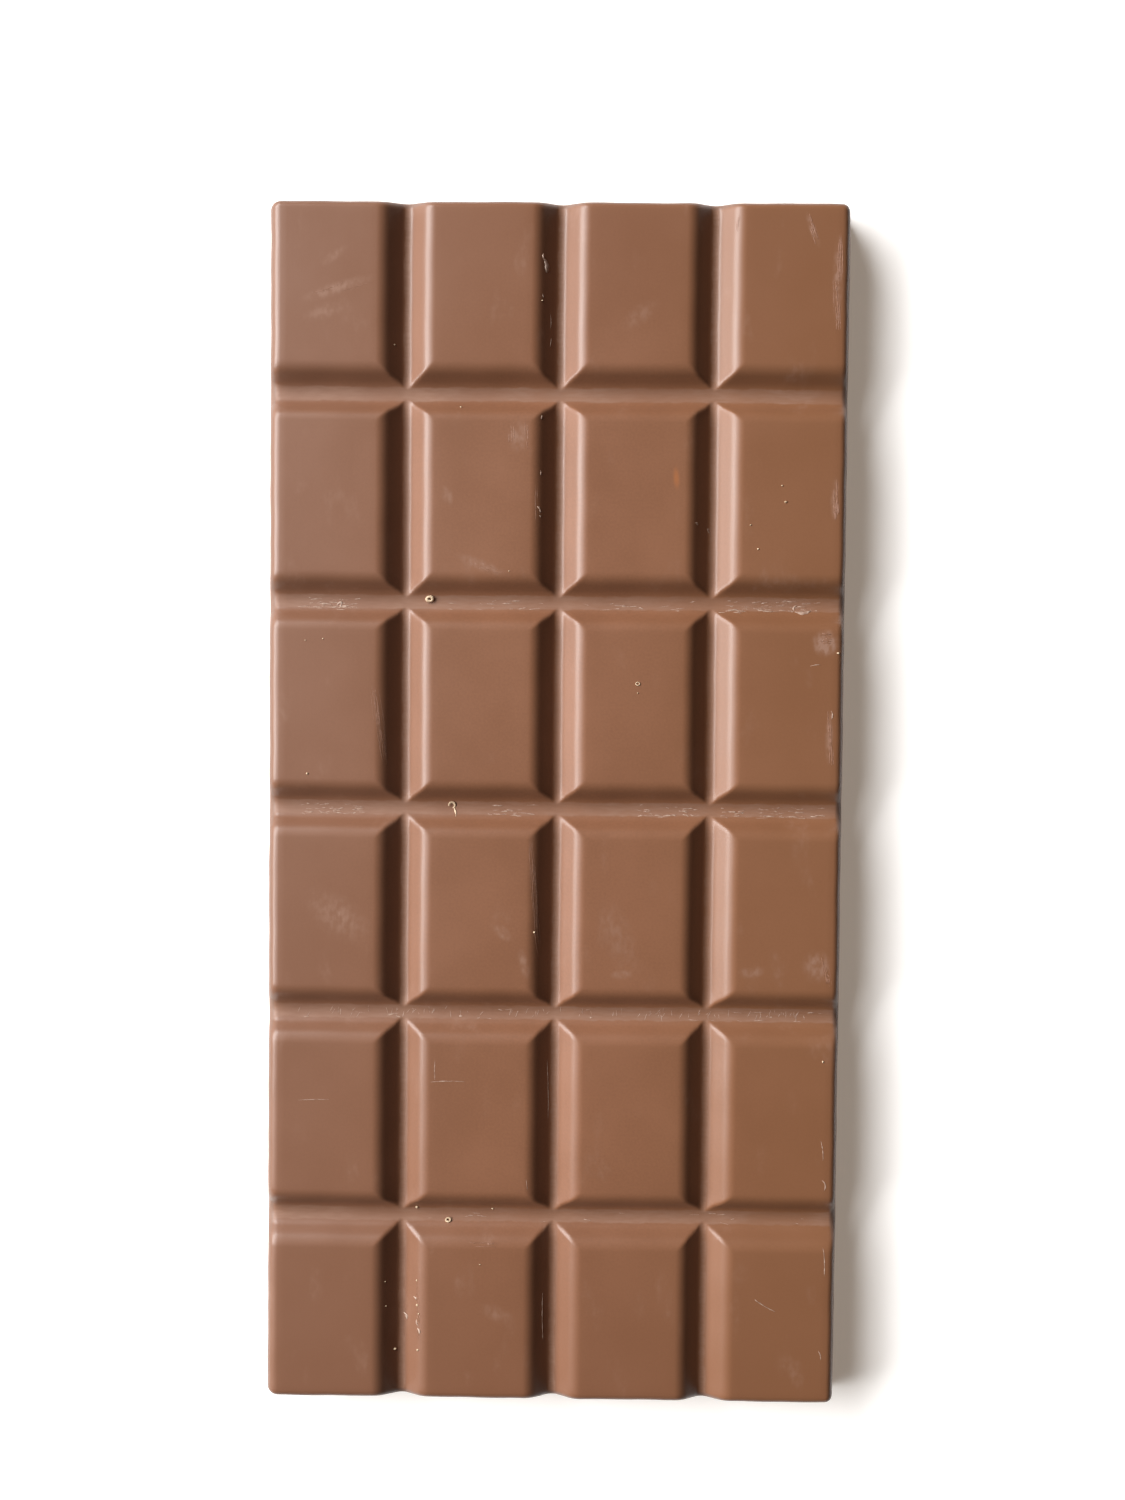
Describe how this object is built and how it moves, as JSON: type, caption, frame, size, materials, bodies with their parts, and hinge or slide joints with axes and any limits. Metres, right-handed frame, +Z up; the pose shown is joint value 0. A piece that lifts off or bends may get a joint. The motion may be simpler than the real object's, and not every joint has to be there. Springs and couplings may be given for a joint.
{
  "type": "chocolate bar",
  "caption": "Flat rectangular milk chocolate tablet, its top divided into oblong pieces by rounded V grooves, with a plain flat back.",
  "frame": {"origin": "centre of the flat back, on the surface the tablet lies on", "axes": "+Y along the tablet's long side, +X along its short side, +Z up, out of the moulded top"},
  "size_m": [0.0778, 0.16, 0.0072],
  "materials": {
    "milk_chocolate": "satin moulded milk chocolate"
  },
  "bodies": {
    "root": {"chocolate_bar": "milk_chocolate"}
  },
  "joints": []
}
